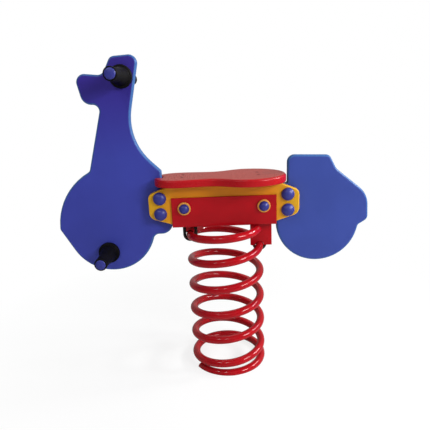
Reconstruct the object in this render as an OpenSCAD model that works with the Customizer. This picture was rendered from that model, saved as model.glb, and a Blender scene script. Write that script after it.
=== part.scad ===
// Spring rider for one child: a scooter silhouette in two upright plastic panels, bolted between
// two rails that carry the seat, on a steel channel clamped to one large coil spring.
// Millimetres. The origin is on the ground, on the axis of the spring. The front is towards -X,
// up is +Z, and the rider's left hand is on the -Y side.

/* [Spring] */
// Diameter of the spring wire
wire_d = 20; // [14:0.5:22]
// Outside diameter of the coil
coil_d = 200; // [170:1:240]
// Rise of one free turn
coil_pitch = 69.5; // [60:0.5:85]
// Turns of wire from the foot end to the head end
coil_turns = 6.35; // [4.35:0.05:8.35]
// Direction of the head end, seen from above, counted from the rear
head_end_angle = -22; // [-40:1:-12]
// Gap between the closed turn at the foot and the next one
foot_gap = 1; // [0.5:0.5:4]
// Turns at the foot that lie closed, ground flat below
foot_closed_turns = 0.65; // [0.5:0.05:0.8]
// Turns over which the foot grows to the full pitch
foot_ramp_turns = 0.7; // [0.5:0.05:0.9]
// Rise of one turn at the head end
head_pitch = 30; // [25:1:60]
// Turns over which the pitch falls off towards the head end
head_ramp_turns = 0.8; // [0.5:0.1:1.5]

/* [Spring head] */
// How far the steel channel reaches past the coil at each end
head_overhang = 31.5; // [20:0.5:60]
// Height of the channel's cheeks, over its web
cheek_h = 76; // [62:0.5:90]
// Thickness of the channel's sheet steel
steel_t = 4; // [3:0.5:6]
// Radius outside the channel's bends
bend_r = 2.5; // [2:0.5:6]
// Gap between the head end of the wire and the channel
head_gap = 1; // [1:0.5:6]
// Width of the drop bracket
drop_w = 55; // [46:1:70]
// How far the middle of the drop bracket lies behind the wire
drop_shift = 4; // [0:0.5:6]
// Thickness of the drop bracket
drop_t = 8; // [5:0.5:10]
// Depth of the front saddle along the wire
saddle_d = 12; // [8:1:14]
// How far the front saddle laps down over the wire
saddle_lap = 4; // [2:0.5:5]
// Diameter of the U-bolts' rod
u_bolt_d = 8; // [6:1:8]

/* [Sheets and rails] */
// Thickness of the plastic sheets
sheet_t = 19; // [18:0.5:25]
// How far the rails reach past the channel at each end
rail_overhang = 57.5; // [48:0.5:90]
// Height of the rails
rail_h = 103; // [90:1:130]
// Fall of a rail's top edge towards its ends
rail_end_fall = 22.5; // [6:0.5:25]
// Length of the slope on top of a rail's end
rail_fall_l = 54; // [40:1:70]
// Corner radius at the top of a rail's ends
rail_top_r = 15; // [8:1:24]
// Corner radius at the bottom of a rail's ends
rail_low_r = 20; // [8:1:30]
// Height of a rail's end over its bottom edge
rail_end_rise = 21; // [10:0.5:30]
// Length of the slope under a rail's end
rail_taper_l = 66; // [45:1:90]

/* [Seat] */
// Thickness of the seat
seat_t = 19; // [15:0.5:30]
// How far the front of the seat laps past the front panel's back edge
seat_lap = 18; // [10:1:40]
// Gap between the back of the seat and the rear panel
seat_rear_gap = 3; // [2:0.5:12]
// Width of the seat at the back
seat_rear_w = 178; // [130:1:220]
// Width of the seat at its waist
seat_waist_w = 116; // [90:1:150]
// Width of the seat at the front
seat_front_w = 128; // [90:1:180]
// Distance of the seat's front screws from its back screws
seat_screw_span = 190; // [150:1:210]
// Diameter of the seat screws
seat_screw_d = 5; // [4:0.5:6]
// Distance of the seat screws' tips from the holes for the cheek bolts
seat_screw_gap = 12.5; // [4:0.5:25]

/* [Front panel] */
// Reach of the front panel in front of its bolts
front_reach = 267; // [240:1:320]
// Rise of the front panel over its bolts
front_rise = 366; // [320:1:420]
// Drop of the front panel below its bolts
front_drop = 173; // [150:1:190]
// Diameter of the front wheel shape
front_wheel_d = 227; // [210:1:240]
// Distance of the front panel's back edge behind its bolts
front_edge = 6; // [3:0.5:8]

/* [Rear panel] */
// Reach of the rear panel behind its bolts
rear_reach = 209; // [190:1:240]
// Rise of the rear panel over its bolts
rear_rise = 115; // [95:1:150]
// Drop of the rear panel below its bolts
rear_drop = 164; // [150:1:180]
// Diameter of the rear wheel shape
rear_wheel_d = 211; // [200:1:216]
// Distance of the rear panel's front edge behind its bolts
rear_edge = 2; // [0:0.5:10]

/* [Bolts] */
// Diameter of the panel and cheek bolts
bolt_d = 8; // [6:1:10]
// Distance of the panel bolts from a rail's end
rail_bolt_inset = 29; // [24:1:34]
// Distance of a panel's upper bolt from its lower one
rail_bolt_span = 40; // [36:1:48]
// Distance of the cheek bolts from the channel's ends
cheek_bolt_inset = 32; // [20:0.5:50]
// Distance of the cheek bolts below the cheeks' top
cheek_bolt_drop = 27; // [18:0.5:34]
// Diameter of the domes over the panel bolts
dome_d = 33; // [28:0.5:36]
// Room in the domes over the ends of the panel bolts
dome_room = 1.9; // [1:0.1:6]
// How far the washers under the cheek bolts stand out from their caps
cheek_washer_rim = 4; // [2:0.5:8]
// Thickness of the washers under the cheek bolts
cheek_washer_t = 4; // [3:0.5:6]
// Gap between the corners of the cheek nuts and their caps
cheek_cap_gap = 3.4; // [1.5:0.1:5]
// Room in the caps over the ends of the cheek bolts
cheek_cap_room = 1.5; // [1:0.1:5]

/* [Grips] */
// Length of a handle grip from the panel to its tip
grip_l = 110; // [90:1:140]
// Length of a foot peg from the panel to its tip
peg_l = 93; // [85:1:130]
// Diameter of a grip at its tip
grip_tip_d = 31.5; // [29:0.5:36]
// Diameter of a grip at its flange
grip_root_d = 44; // [38:0.5:48]
// Length over which a grip tapers
grip_taper_l = 46; // [30:1:80]
// How far a grip's flange stands out from its root
flange_rim = 5.5; // [3:0.5:10]
// Thickness of a grip's flange
flange_t = 10; // [6:0.5:14]
// Diameter of the rods through the panel
rod_d = 10; // [8:0.5:12]
// How far the caps in the grips' tips lap over their sockets
tip_cap_lap = 2; // [0.5:0.25:3]
// Height of the caps over the grips' tips
tip_cap_h = 3.5; // [2:0.5:6]

/* [Hidden] */
$fn = 64;

// Colours
blue = "#3f45a3";
red = "#c8161d";
yellow = "#dca21c";
black = "#161618";
zinc = "#a9adb2";

// Counts
hex_sides = 6;
wire_sides = 8;
turn_rings = 24;
arc_step_angle = 6;

// Clearances
overrun = 1;
hole_gap = 0.3;
thread_gap = 0.1;
wire_gap = 0.8;
channel_gap = 0.25;
panel_gap = 2;
web_washer_gap = 1.5;
edge_gap = 0.5;
tongue_top_gap = 8;
tongue_r = 6;
point_gap = 0.05;

// Fasteners
washer_t = 1.6;
washer_d_share = 2;
hex_share = 1.625;
nut_h_share = 0.8;
head_h_share = 0.65;
thread_end = 1.5;
screw_head_share = 1.5;
cap_wall = 1.6;
cap_skirt_share = 0.25;
bolt_end_h = bolt_d * nut_h_share + thread_end;
dome_h = washer_t + bolt_end_h + dome_room + cap_wall;
cheek_cap_h = bolt_end_h + cheek_cap_room + cap_wall;
cheek_cap_d = bolt_d * hex_share / cos(180 / hex_sides) + 2 * cheek_cap_gap + 2 * cap_wall;
cheek_washer_d = cheek_cap_d + 2 * cheek_washer_rim;

// Heights of the wire
coil_r = (coil_d - wire_d) / 2;
foot_cut_share = 0.58;
foot_z = wire_d / 2 - wire_d * foot_cut_share;
foot_pitch = wire_d + foot_gap;
foot_end_angle = head_end_angle - 360 * coil_turns;

// Area under a smooth ramp from nought to one, and on past it
function ramp_area(u) = u <= 0 ? 0 : u < 1 ? pow(u, 3) - pow(u, 4) / 2 : u - 1 / 2;
function ramp(u) = u <= 0 ? 0 : u < 1 ? u * u * (3 - 2 * u) : 1;
function foot_part(t) = (t - foot_closed_turns) / foot_ramp_turns;
function head_part(t) = (t - coil_turns + head_ramp_turns) / head_ramp_turns;

// Height, rise per turn and place of the wire after t turns
function wire_z(t) = foot_z + foot_pitch * t
    + (coil_pitch - foot_pitch) * foot_ramp_turns * ramp_area(foot_part(t))
    - (coil_pitch - head_pitch) * head_ramp_turns * ramp_area(head_part(t));
function wire_rise(t) = foot_pitch + (coil_pitch - foot_pitch) * ramp(foot_part(t))
    - (coil_pitch - head_pitch) * ramp(head_part(t));
function wire_angle(t) = foot_end_angle + 360 * t;
function wire_at(t) = [coil_r * cos(wire_angle(t)), coil_r * sin(wire_angle(t)), wire_z(t)];

// Turns at which the wire last passes the front and the rear clamp
front_clamp_turn = coil_turns - (head_end_angle + 180) / 360;
rear_clamp_turn = coil_turns - (head_end_angle + 360) / 360;
clamp_r = wire_d / 2 + wire_gap;
u_bolt_r = clamp_r + u_bolt_d / 2;

// Main lengths
head_l = coil_d + 2 * head_overhang;
rail_l = head_l + 2 * rail_overhang;

// Main heights
head_z = wire_z(coil_turns) + wire_d / 2 + head_gap;
rail_z = head_z + steel_t;
seat_z = rail_z + rail_h;

// Main widths
panel_side = sheet_t / 2;
rail_side = panel_side + sheet_t;
channel_in = rail_side + channel_gap;
cheek_side = channel_in + steel_t;

// Places on the wire under the clamps
front_wire = wire_at(front_clamp_turn);
rear_wire = wire_at(rear_clamp_turn);
rear_u_bolt_y = u_bolt_d / 8;
drop_y = rear_u_bolt_y - u_bolt_d / 2 - edge_gap - drop_t / 2;
drop_turn = rear_clamp_turn + asin(drop_y / coil_r) / 360;
drop_wire = wire_at(drop_turn);
u_bolt_places = [
    for (s = [-1, 1]) [front_wire.x + s * u_bolt_r, 0],
    for (s = [-1, 1]) [rear_wire.x + s * u_bolt_r, rear_u_bolt_y]];
u_bolt_washer_d = sheet_t - 2 * web_washer_gap;
u_bolt_top = rail_z + washer_t + u_bolt_d * nut_h_share + thread_end;

// Places of the bolts
bolt_x = rail_l / 2 - rail_bolt_inset;
bolt_z = rail_z + rail_h / 2;
panel_bolt_places = [for (sx = [-1, 1]) for (sz = [-1, 1]) [sx * bolt_x, bolt_z + sz * rail_bolt_span / 2]];
cheek_bolt_x = head_l / 2 - cheek_bolt_inset;
cheek_bolt_z = head_z + cheek_h - cheek_bolt_drop;
cheek_bolt_places = [for (sx = [-1, 1]) [sx * cheek_bolt_x, cheek_bolt_z]];
tongue_end = head_l / 2 + panel_gap;
tongue_top = rail_z + rail_h - tongue_top_gap;

// Places on the front panel, as shares of its reach, and of its rise or its drop
function front_at(x_share, z_share) =
    [-bolt_x - x_share * front_reach, bolt_z + z_share * (z_share > 0 ? front_rise : front_drop)];
function rear_at(x_share, z_share) =
    [bolt_x + x_share * rear_reach, bolt_z + z_share * (z_share > 0 ? rear_rise : rear_drop)];
handle_shares = [0.273, 0.861];
foot_peg_shares = [0.539, -0.706];
handle_place = front_at(handle_shares.x, handle_shares.y);
foot_peg_place = front_at(foot_peg_shares.x, foot_peg_shares.y);

// Inside of a grip's tip: the nut sits on a shoulder, under the plug of the cap
plug_l = rod_d / 2;
plug_d_share = 2.1;
plug_d = rod_d * plug_d_share;
function shoulder_side(l) = panel_side + l - plug_l - thread_end - rod_d * nut_h_share - washer_t;
function rod_end_side(l) = shoulder_side(l) + washer_t + rod_d * nut_h_share + thread_end;
pocket_r = plug_d / 2 + hole_gap;
tip_cap_d = plug_d + 2 * tip_cap_lap;
tip_r = (grip_tip_d / 2 - pocket_r) / 2;
flange_d = grip_root_d + 2 * flange_rim;
flange_r = flange_t / 4;

// A closed outline with a round at each corner: corners are [x, z, radius].
// Two rounds that would overlap on their edge shrink alike until they meet, and a point where
// two rounds meet is kept once.
function unit(v) = v / norm(v);
function flat(p) = [p.x, p.y];
function corner_round(before, at, after, r) =
    let (to_before = unit(before - at), to_after = unit(after - at),
        half = acos(to_before * to_after) / 2,
        centre = at + unit(to_before + to_after) * r / sin(half),
        first = at + to_before * r / tan(half) - centre,
        start = atan2(first.y, first.x),
        side = cross(at - before, after - at) > 0 ? 1 : -1,
        steps = ceil((180 - 2 * half) / arc_step_angle))
    [for (i = [0 : steps])
        let (a = start + side * (180 - 2 * half) * i / steps)
        centre + r * [cos(a), sin(a)]];
function distinct(points) =
    let (n = len(points))
    [for (i = [0 : n - 1])
        if (norm(points[i] - points[(i + n - 1) % n]) > point_gap)
            points[i]];
function rounded(corners) =
    let (n = len(corners),
        points = [for (c = corners) flat(c)],
        edges = [for (i = [0 : n - 1]) points[(i + 1) % n] - points[i]],
        turns = [for (i = [0 : n - 1]) acos(unit(edges[(i + n - 1) % n]) * unit(edges[i]))],
        runs = [for (i = [0 : n - 1]) corners[i].z * tan(turns[i] / 2)],
        fits = [for (i = [0 : n - 1]) min(1, norm(edges[i]) / (runs[i] + runs[(i + 1) % n]))])
    distinct([for (i = [0 : n - 1])
        let (before = (i + n - 1) % n)
        each corner_round(points[before], points[i], points[(i + 1) % n],
            corners[i].z * min(fits[before], fits[i]))]);

// Angle at which the line between a corner and a wheel touches it: before the wheel, side is 1, after it -1
function touch_angle(corner, centre, r, side) =
    (atan2(corner.y - centre.y, corner.x - centre.x) + 360) % 360 + side * acos(r / norm(corner - centre));

// Corners of the open polygon that touches a wheel along its arc, between the corners before and after it
function wheel_corners(centre, r, before, after, n) =
    let (a0 = touch_angle(before, centre, r, 1),
        a1 = touch_angle(after, centre, r, -1),
        half = (a1 - a0) / n / 2)
    [for (i = [0 : n - 1])
        let (a = a0 + half * (2 * i + 1))
        [centre.x + r / cos(half) * cos(a), centre.y + r / cos(half) * sin(a), r]];

// A corner outside a wheel, where the panel meets it or leaves it
heel_out_share = 1.01;
chin_out_share = 1.16;
function beside_wheel(centre, r, angle) = centre + r * [cos(angle), sin(angle)];

// Silhouette of the front panel above its tongue: [share of reach, share of rise, radius as share of reach]
front_shares = [
    [0.276, 0.45, 0.516],
    [0.108, 1, 0.071],
    [0.36, 0.99, 0.064],
    [0.444, 0.875, 0.068],
    [0.701, 0.896, 0.075],
    [0.641, 0.692, 0.096],
    [0.483, 0.691, 0.057],
    [0.651, 0.25, 0.043],
    [0.979, 0.122, 0.628]];
front_chin_r_share = 0.044;
front_chin_angle = 178.8;
front_edge_shares = [0.237, 0.03];
front_wheel_x_share = 0.507;
front_heel_r_share = 0.064;
front_heel_angle = -9.4;
front_tongue_r_share = 0.11;
front_wheel_r = front_wheel_d / 2;
front_wheel_place = [front_at(front_wheel_x_share, 0).x, bolt_z - front_drop + front_wheel_r];
front_back = -bolt_x + front_edge;
front_heel = beside_wheel(front_wheel_place, heel_out_share * front_wheel_r, front_heel_angle);
front_chin = beside_wheel(front_wheel_place, chin_out_share * front_wheel_r, front_chin_angle);
front_corners = concat(
    [[-tongue_end, tongue_top, tongue_r],
        [front_back, tongue_top, tongue_r],
        [front_back, front_at(0, front_edge_shares[0]).y, front_edge_shares[1] * front_reach]],
    [for (s = front_shares) [front_at(s.x, s.y).x, front_at(s.x, s.y).y, s.z * front_reach]],
    [[front_chin.x, front_chin.y, front_chin_r_share * front_reach]],
    wheel_corners(front_wheel_place, front_wheel_r, front_chin, front_heel, 2),
    [[front_heel.x, front_heel.y, front_heel_r_share * front_reach],
        [-tongue_end, front_heel.y, front_tongue_r_share * front_reach]]);

// Silhouette of the rear panel behind its wheel: [share of reach, share of rise, radius as share of reach]
rear_shares = [
    [1, -0.349, 0.077],
    [0.986, 0.073, 0.299],
    [0.597, 0.659, 0.149],
    [0.512, 0.962, 0.06]];
rear_top_r_share = 0.09;
rear_heel_r_share = 0.04;
rear_heel_angle = -7.4;
rear_wheel_r = rear_wheel_d / 2;
rear_wheel_place = [tongue_end + rear_wheel_r, bolt_z - rear_drop + rear_wheel_r];
rear_front = bolt_x + rear_edge;
rear_heel = beside_wheel(rear_wheel_place, heel_out_share * rear_wheel_r, rear_heel_angle);
rear_corners = concat(
    wheel_corners(rear_wheel_place, rear_wheel_r, [tongue_end, tongue_top], rear_heel, 3),
    [[rear_heel.x, rear_heel.y, rear_heel_r_share * rear_reach]],
    [for (s = rear_shares) [rear_at(s.x, s.y).x, rear_at(s.x, s.y).y, s.z * rear_reach]],
    [[rear_front, bolt_z + rear_rise, rear_top_r_share * rear_reach],
        [rear_front, tongue_top, tongue_r],
        [tongue_end, tongue_top, tongue_r]]);

// Outline of a rail
rail_corners = [
    [rail_l / 2, rail_z + rail_h - rail_end_fall, rail_top_r],
    [rail_l / 2 - rail_fall_l, rail_z + rail_h, rail_top_r],
    [rail_fall_l - rail_l / 2, rail_z + rail_h, rail_top_r],
    [-rail_l / 2, rail_z + rail_h - rail_end_fall, rail_top_r],
    [-rail_l / 2, rail_z + rail_end_rise, rail_low_r],
    [rail_taper_l - rail_l / 2, rail_z, rail_low_r],
    [rail_l / 2 - rail_taper_l, rail_z, rail_low_r],
    [rail_l / 2, rail_z + rail_end_rise, rail_low_r]];

// Outline of the seat: two lobes and a waist, with full rounded ends
seat_rear = rear_front - seat_rear_gap;
seat_front = seat_lap - front_back;
seat_l = seat_rear + seat_front;
seat_mid = (seat_rear - seat_front) / 2;
seat_lobe_shares = [0.2, 0.43, 0.7];
seat_end_powers = [0.8, 0.95];
seat_places = [for (s = seat_lobe_shares) seat_l * s - seat_front];
seat_ends = [-seat_front, seat_rear];
seat_halves = [seat_front_w / 2, seat_waist_w / 2, seat_rear_w / 2];
seat_steps = 12;
function wave(u) = (1 - cos(180 * u)) / 2;
function seat_end(k, lobe, half, a) =
    let (power = seat_end_powers[k])
    [lobe + (seat_ends[k] - lobe) * pow(cos(a), power), half * pow(sin(a), power)];
seat_side = concat(
    [for (i = [0 : seat_steps]) seat_end(1, seat_places[2], seat_halves[2], 90 * i / seat_steps)],
    [for (k = [1, 0]) for (i = [1 : seat_steps])
        let (u = i / seat_steps)
        [seat_places[k + 1] + (seat_places[k] - seat_places[k + 1]) * u,
            seat_halves[k + 1] + (seat_halves[k] - seat_halves[k + 1]) * wave(u)]],
    [for (i = [1 : seat_steps])
        seat_end(0, seat_places[0], seat_halves[0], 90 - 90 * i / seat_steps)]);
seat_outline = concat(seat_side,
    [for (i = [len(seat_side) - 2 : -1 : 1]) [seat_side[i].x, -seat_side[i].y]]);
screw_head_d = seat_screw_d * screw_head_share;
screw_head_h = (screw_head_d - seat_screw_d) / 2;
screw_foot_z = cheek_bolt_z + bolt_d / 2 + hole_gap + seat_screw_gap;
seat_screw_l = seat_z + seat_t - screw_foot_z;
seat_screw_places = [for (sx = [-1, 1]) for (sy = [-1, 1])
    [seat_mid + sx * seat_screw_span / 2, sy * sheet_t]];

// Ring of points round the wire after t turns, square to its run
function wire_ring(t) =
    let (a = wire_angle(t), out = [cos(a), sin(a), 0],
        run = unit([-2 * PI * coil_r * sin(a), 2 * PI * coil_r * cos(a), wire_rise(t)]),
        up = cross(out, run))
    [for (k = [0 : wire_sides - 1])
        let (b = 360 * (k + 1 / 2) / wire_sides)
        wire_at(t) + wire_d / 2 * (out * cos(b) + up * sin(b))];
ring_count = ceil(coil_turns * turn_rings);
wire_points = [for (i = [0 : ring_count]) each wire_ring(coil_turns * i / ring_count)];
wire_faces = concat(
    [for (k = [1 : wire_sides - 2]) [0, k, k + 1]],
    [for (i = [0 : ring_count - 1]) for (k = [0 : wire_sides - 1])
        let (a = i * wire_sides + k, b = i * wire_sides + (k + 1) % wire_sides)
        each [[a, a + wire_sides, b], [b, a + wire_sides, b + wire_sides]]],
    [for (k = [1 : wire_sides - 2])
        let (last = ring_count * wire_sides)
        [last, last + k + 1, last + k]]);

// Least gap of the wire to itself, between points at least half a turn apart
least_gap = min([for (i = [0 : ring_count]) for (j = [i + turn_rings / 2 : 1 : ring_count])
    norm(wire_at(coil_turns * i / ring_count) - wire_at(coil_turns * j / ring_count))]) - wire_d;
echo(least_gap_of_spring_mm = least_gap);

// A plastic sheet that stands in the XZ plane, from y0 on
module sheet(outline, y0, t) {
    translate([0, y0 + t, 0])
        rotate([90, 0, 0])
            linear_extrude(t)
                polygon(outline);
}

// A round bar or bore along Y from y0 to y1
module bar_y(place, d, y0, y1) {
    translate([place.x, y1, place.y])
        rotate([90, 0, 0])
            cylinder(d = d, h = y1 - y0);
}

// A bore of length l along the wire after t turns, with the clamps' gap round it
module wire_bore(t, l) {
    slope = atan(wire_rise(t) / (2 * PI * coil_r));
    translate(wire_at(t))
        rotate([slope, 0, wire_angle(t)])
            rotate([90, 0, 0])
                cylinder(r = clamp_r, h = l, center = true);
}

// A hexagon along Y from y0 to y1, for a thread of diameter d
module hex_y(place, d, y0, y1) {
    translate([place.x, y1, place.y])
        rotate([90, 0, 0])
            cylinder(d = d * hex_share / cos(180 / hex_sides), h = y1 - y0, $fn = hex_sides);
}

// A turned shape whose profile stands on a face that looks along Y, at height y0 from the middle
module turned_y(place, y0, side) {
    translate([place.x, side * y0, place.y])
        rotate([-90 * side, 0, 0])
            rotate_extrude()
                children();
}

module washer_y(place, d, y0, y1) {
    difference() {
        bar_y(place, d * washer_d_share, y0, y1);
        bar_y(place, d + 2 * hole_gap, y0 - overrun, y1 + overrun);
    }
}

module nut_y(place, d, y0, side) {
    y1 = y0 + side * d * nut_h_share;
    difference() {
        hex_y(place, d, min(y0, y1), max(y0, y1));
        bar_y(place, d + 2 * thread_gap, min(y0, y1) - overrun, max(y0, y1) + overrun);
    }
}

// A bolt with its head on the -Y side, through a stack that is clamp_side high on both sides
module bolt_y(place, clamp_side) {
    head_side = clamp_side + bolt_d * head_h_share;
    end_side = clamp_side + bolt_end_h;
    bar_y(place, bolt_d, -clamp_side, end_side);
    hex_y(place, bolt_d, -head_side, -clamp_side);
}

// A hollow dome of diameter d and height h, open at its foot
module dome(d, h) {
    r = d / 2;
    skirt = h * cap_skirt_share;
    steps = 10;
    difference() {
        polygon(concat([[0, 0], [r, 0]],
            [for (i = [0 : steps])
                [r * cos(90 * i / steps), skirt + (h - skirt) * sin(90 * i / steps)]]));
        polygon(concat([[0, -overrun], [r - cap_wall, -overrun]],
            [for (i = [0 : steps])
                [(r - cap_wall) * cos(90 * i / steps),
                    skirt + (h - skirt - cap_wall) * sin(90 * i / steps)]]));
    }
}

module spring() {
    color(red)
        difference() {
            polyhedron(wire_points, wire_faces);
            translate([-coil_d, -coil_d, -wire_d])
                cube([2 * coil_d, 2 * coil_d, wire_d]);
        }
}

module spring_head() {
    color(red)
        difference() {
            translate([-head_l / 2, 0, head_z])
                rotate([90, 0, 90])
                    linear_extrude(head_l)
                        polygon(rounded([
                            [-cheek_side, cheek_h, 0], [-cheek_side, 0, bend_r],
                            [cheek_side, 0, bend_r], [cheek_side, cheek_h, 0],
                            [channel_in, cheek_h, 0], [channel_in, steel_t, 0],
                            [-channel_in, steel_t, 0], [-channel_in, cheek_h, 0]]));
            for (p = cheek_bolt_places)
                bar_y(p, bolt_d + 2 * hole_gap, -cheek_side - overrun, cheek_side + overrun);
            for (p = u_bolt_places)
                translate([p.x, p.y, head_z - overrun])
                    cylinder(d = u_bolt_d + 2 * hole_gap, h = steel_t + 2 * overrun);
        }
}

module front_saddle() {
    saddle_w = 2 * clamp_r - 2 * hole_gap;
    foot = front_wire.z + wire_d / 2 - saddle_lap;
    color(red)
        difference() {
            translate([front_wire.x - saddle_w / 2, -saddle_d / 2, foot])
                cube([saddle_w, saddle_d, head_z - foot]);
            wire_bore(front_clamp_turn, 2 * saddle_d);
        }
}

module drop_bracket() {
    color(red)
        difference() {
            translate([drop_wire.x + drop_shift - drop_w / 2, drop_y - drop_t / 2, drop_wire.z])
                cube([drop_w, drop_t, head_z - drop_wire.z]);
            wire_bore(drop_turn, 2 * drop_t);
        }
}

// A U-bolt round the wire at a place, in the XZ plane, with its two legs up through the web
module u_bolt(place, y) {
    translate([place.x, y, place.z]) {
        rotate([-90, 0, 0])
            rotate_extrude(angle = 180)
                translate([u_bolt_r, 0])
                    circle(d = u_bolt_d);
        for (s = [-1, 1])
            translate([s * u_bolt_r, 0, 0])
                cylinder(d = u_bolt_d, h = u_bolt_top - place.z);
    }
}

module front_u_bolt() {
    color(zinc)
        u_bolt(front_wire, 0);
}

module rear_u_bolt() {
    color(zinc)
        u_bolt(rear_wire, rear_u_bolt_y);
}

module u_bolt_washers() {
    color(zinc)
        for (p = u_bolt_places)
            translate([p.x, p.y, rail_z])
                difference() {
                    cylinder(d = u_bolt_washer_d, h = washer_t);
                    translate([0, 0, -overrun])
                        cylinder(d = u_bolt_d + 2 * hole_gap, h = washer_t + 2 * overrun);
                }
}

module u_bolt_nuts() {
    nut_d = u_bolt_d * hex_share / cos(180 / hex_sides);
    nut_h = u_bolt_d * nut_h_share;
    color(zinc)
        for (p = u_bolt_places)
            translate([p.x, p.y, rail_z + washer_t])
                difference() {
                    cylinder(d = nut_d, h = nut_h, $fn = hex_sides);
                    translate([0, 0, -overrun])
                        cylinder(d = u_bolt_d + 2 * thread_gap, h = nut_h + 2 * overrun);
                }
}

// A rail from y0 on, drilled for the panel bolts, the cheek bolts and the seat screws
module rail(y0) {
    color(yellow)
        difference() {
            sheet(rounded(rail_corners), y0, sheet_t);
            for (p = concat(panel_bolt_places, cheek_bolt_places))
                bar_y(p, bolt_d + 2 * hole_gap, y0 - overrun, y0 + sheet_t + overrun);
            for (p = seat_screw_places)
                translate([p.x, p.y, screw_foot_z - thread_gap])
                    cylinder(d = seat_screw_d + 2 * thread_gap, h = seat_screw_l);
        }
}

module rail_left() {
    rail(-rail_side);
}

module rail_right() {
    rail(panel_side);
}

module cheek_sleeves() {
    color(zinc)
        for (p = cheek_bolt_places)
            washer_y(p, bolt_d, -panel_side, panel_side);
}

module cheek_bolts() {
    color(zinc)
        for (p = cheek_bolt_places)
            bolt_y(p, cheek_side + cheek_washer_t);
}

// Plastic washers with a rim that the caps clip into
module cheek_washers() {
    r = cheek_washer_d / 2;
    rim = r - cheek_cap_d / 2 - hole_gap;
    color(yellow)
        for (p = cheek_bolt_places)
            for (side = [-1, 1])
                turned_y(p, cheek_side, side)
                    polygon([[bolt_d / 2 + hole_gap, 0], [r, 0], [r - rim / 2, cheek_washer_t + cap_wall],
                        [r - rim, cheek_washer_t + cap_wall], [r - rim, cheek_washer_t],
                        [bolt_d / 2 + hole_gap, cheek_washer_t]]);
}

module cheek_nuts() {
    color(zinc)
        for (p = cheek_bolt_places)
            nut_y(p, bolt_d, cheek_side + cheek_washer_t, 1);
}

module cheek_caps() {
    color(blue)
        for (p = cheek_bolt_places)
            for (side = [-1, 1])
                turned_y(p, cheek_side + cheek_washer_t, side)
                    dome(cheek_cap_d, cheek_cap_h);
}

module front_panel() {
    places = [panel_bolt_places[0], panel_bolt_places[1]];
    color(blue)
        difference() {
            sheet(rounded(front_corners), -panel_side, sheet_t);
            for (p = places)
                bar_y(p, bolt_d + 2 * hole_gap, -sheet_t, sheet_t);
            for (p = [handle_place, foot_peg_place])
                bar_y(p, rod_d + 2 * hole_gap, -sheet_t, sheet_t);
        }
}

module rear_panel() {
    places = [panel_bolt_places[2], panel_bolt_places[3]];
    color(blue)
        difference() {
            sheet(rounded(rear_corners), -panel_side, sheet_t);
            for (p = places)
                bar_y(p, bolt_d + 2 * hole_gap, -sheet_t, sheet_t);
        }
}

module panel_bolts() {
    color(zinc)
        for (p = panel_bolt_places)
            bolt_y(p, rail_side + washer_t);
}

module panel_washers() {
    color(zinc)
        for (p = panel_bolt_places) {
            washer_y(p, bolt_d, -rail_side - washer_t, -rail_side);
            washer_y(p, bolt_d, rail_side, rail_side + washer_t);
        }
}

module panel_nuts() {
    color(zinc)
        for (p = panel_bolt_places)
            nut_y(p, bolt_d, rail_side + washer_t, 1);
}

module panel_domes() {
    color(blue)
        for (p = panel_bolt_places)
            for (side = [-1, 1])
                turned_y(p, rail_side, side)
                    dome(dome_d, dome_h);
}

module seat() {
    notch_w = sheet_t + 2 * edge_gap;
    notch_x = front_back + edge_gap;
    color(red)
        difference() {
            translate([0, 0, seat_z])
                linear_extrude(seat_t)
                    polygon(seat_outline);
            translate([notch_x - seat_front, -notch_w / 2, seat_z - overrun])
                cube([seat_front, notch_w, seat_t + 2 * overrun]);
            for (p = seat_screw_places)
                translate([p.x, p.y, seat_z]) {
                    translate([0, 0, -overrun])
                        cylinder(d = seat_screw_d + 2 * hole_gap, h = seat_t + 2 * overrun);
                    translate([0, 0, seat_t - screw_head_h])
                        cylinder(d1 = seat_screw_d + 2 * thread_gap, d2 = screw_head_d + 2 * thread_gap,
                            h = screw_head_h);
                }
        }
}

module seat_screws() {
    color(zinc)
        for (p = seat_screw_places)
            translate([p.x, p.y, seat_z + seat_t]) {
                translate([0, 0, -seat_screw_l])
                    cylinder(d = seat_screw_d, h = seat_screw_l);
                translate([0, 0, -screw_head_h])
                    cylinder(d1 = seat_screw_d, d2 = screw_head_d, h = screw_head_h);
            }
}

// A grip of length l on one side of the panel, bored for its rod
module grip(place, l, side) {
    bore_r = rod_d / 2 + hole_gap;
    shoulder = shoulder_side(l) - panel_side;
    taper_end = flange_t + grip_taper_l;
    color(black)
        turned_y(place, panel_side, side)
            polygon([
                [bore_r, 0], [flange_d / 2, 0], [flange_d / 2, flange_t - flange_r],
                [flange_d / 2 - flange_r, flange_t], [grip_root_d / 2, flange_t],
                [grip_tip_d / 2, taper_end], [grip_tip_d / 2, l - tip_r],
                [grip_tip_d / 2 - tip_r, l], [pocket_r, l],
                [pocket_r, shoulder], [bore_r, shoulder]]);
}

// A rod through the panel, from nut to nut, for two grips of length l
module rod(place, l) {
    color(zinc)
        bar_y(place, rod_d, -rod_end_side(l), rod_end_side(l));
}

module rod_washers(place, l) {
    seat_side = shoulder_side(l);
    color(zinc)
        for (s = [-1, 1])
            washer_y(place, rod_d, min(s * seat_side, s * (seat_side + washer_t)),
                max(s * seat_side, s * (seat_side + washer_t)));
}

module rod_nuts(place, l) {
    color(zinc)
        for (s = [-1, 1])
            nut_y(place, rod_d, s * (shoulder_side(l) + washer_t), s);
}

module tip_caps(place, l) {
    steps = 8;
    r = tip_cap_d / 2;
    color(blue)
        for (s = [-1, 1])
            turned_y(place, panel_side + l, s)
                polygon(concat([[0, -plug_l], [plug_d / 2, -plug_l], [plug_d / 2, 0]],
                    [for (i = [0 : steps]) [r * cos(90 * i / steps), tip_cap_h * sin(90 * i / steps)]]));
}

module handle_rod() {
    rod(handle_place, grip_l);
}

module handle_grip_left() {
    grip(handle_place, grip_l, -1);
}

module handle_grip_right() {
    grip(handle_place, grip_l, 1);
}

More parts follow.
